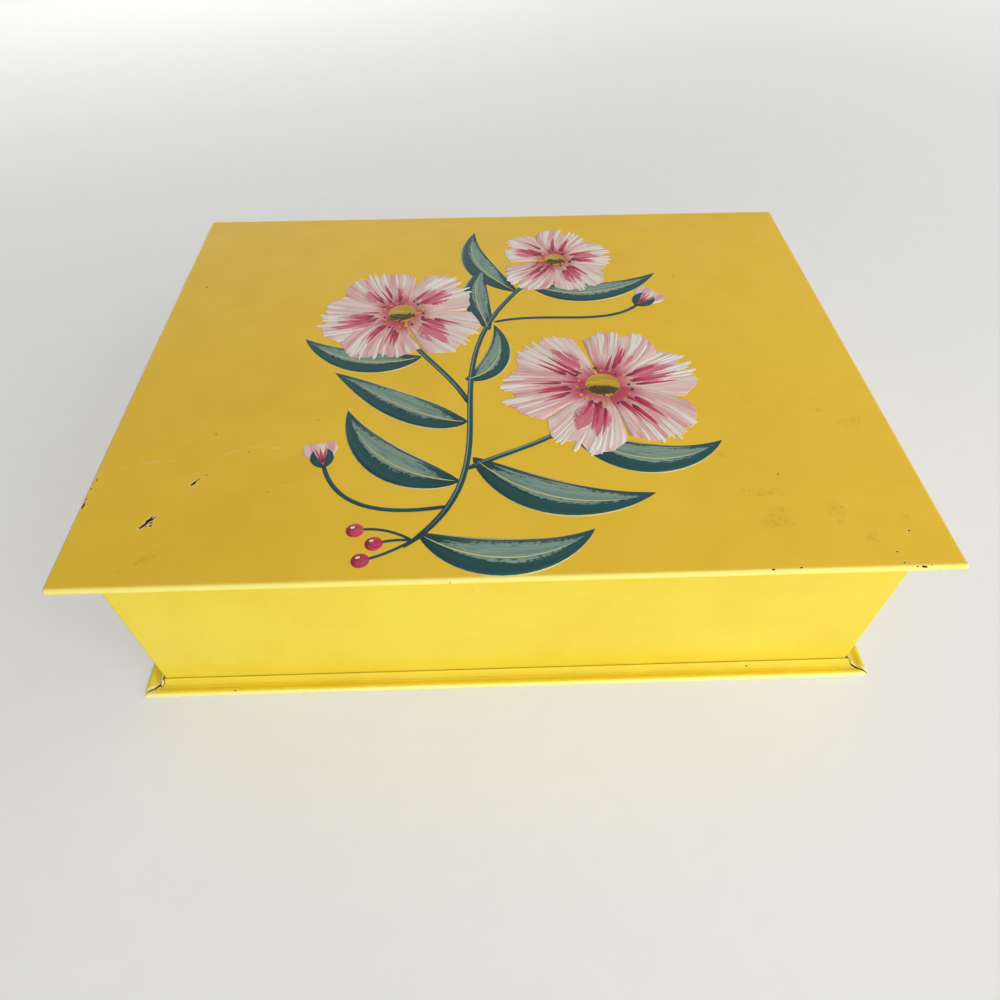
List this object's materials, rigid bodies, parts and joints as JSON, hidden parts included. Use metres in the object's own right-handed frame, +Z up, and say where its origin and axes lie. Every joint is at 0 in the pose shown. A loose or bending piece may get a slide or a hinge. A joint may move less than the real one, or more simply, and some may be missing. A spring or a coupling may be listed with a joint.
{
  "type": "hinged tin box",
  "caption": "Shallow painted sheet-metal box with a flat overhanging lid on a rear hinge, a folded base edge and a flower painting on the lid, for papers and keepsakes.",
  "frame": {"origin": "on the table under the middle of the box and of its lid", "axes": "+Z up, +X along the lid's long side towards the viewer's right, front wall faces -Y, hinge at +Y"},
  "size_m": [0.305, 0.24, 0.0825],
  "materials": {
    "body_paint": "yellow enamel on sheet steel, gloss, worn",
    "hinge_paint": "yellow enamel, worn at the knuckles",
    "pin_steel": "plain drawn steel wire"
  },
  "bodies": {
    "box": {"base_pan": "body_paint", "wall_wrap": "body_paint", "back_wall": "body_paint", "hinge_leaf_body": "hinge_paint", "hinge_pin": "pin_steel"},
    "lid": {"lid_panel": "body_paint", "lid_rim": "body_paint", "hinge_leaf_lid": "hinge_paint"}
  },
  "joints": [
    {"name": "lid_hinge", "type": "hinge", "parent": "box", "child": "lid", "pos_m": [0, 0.11266, 0.07984], "axis": [-1, 0, 0], "range_deg": [0, 102]}
  ]
}
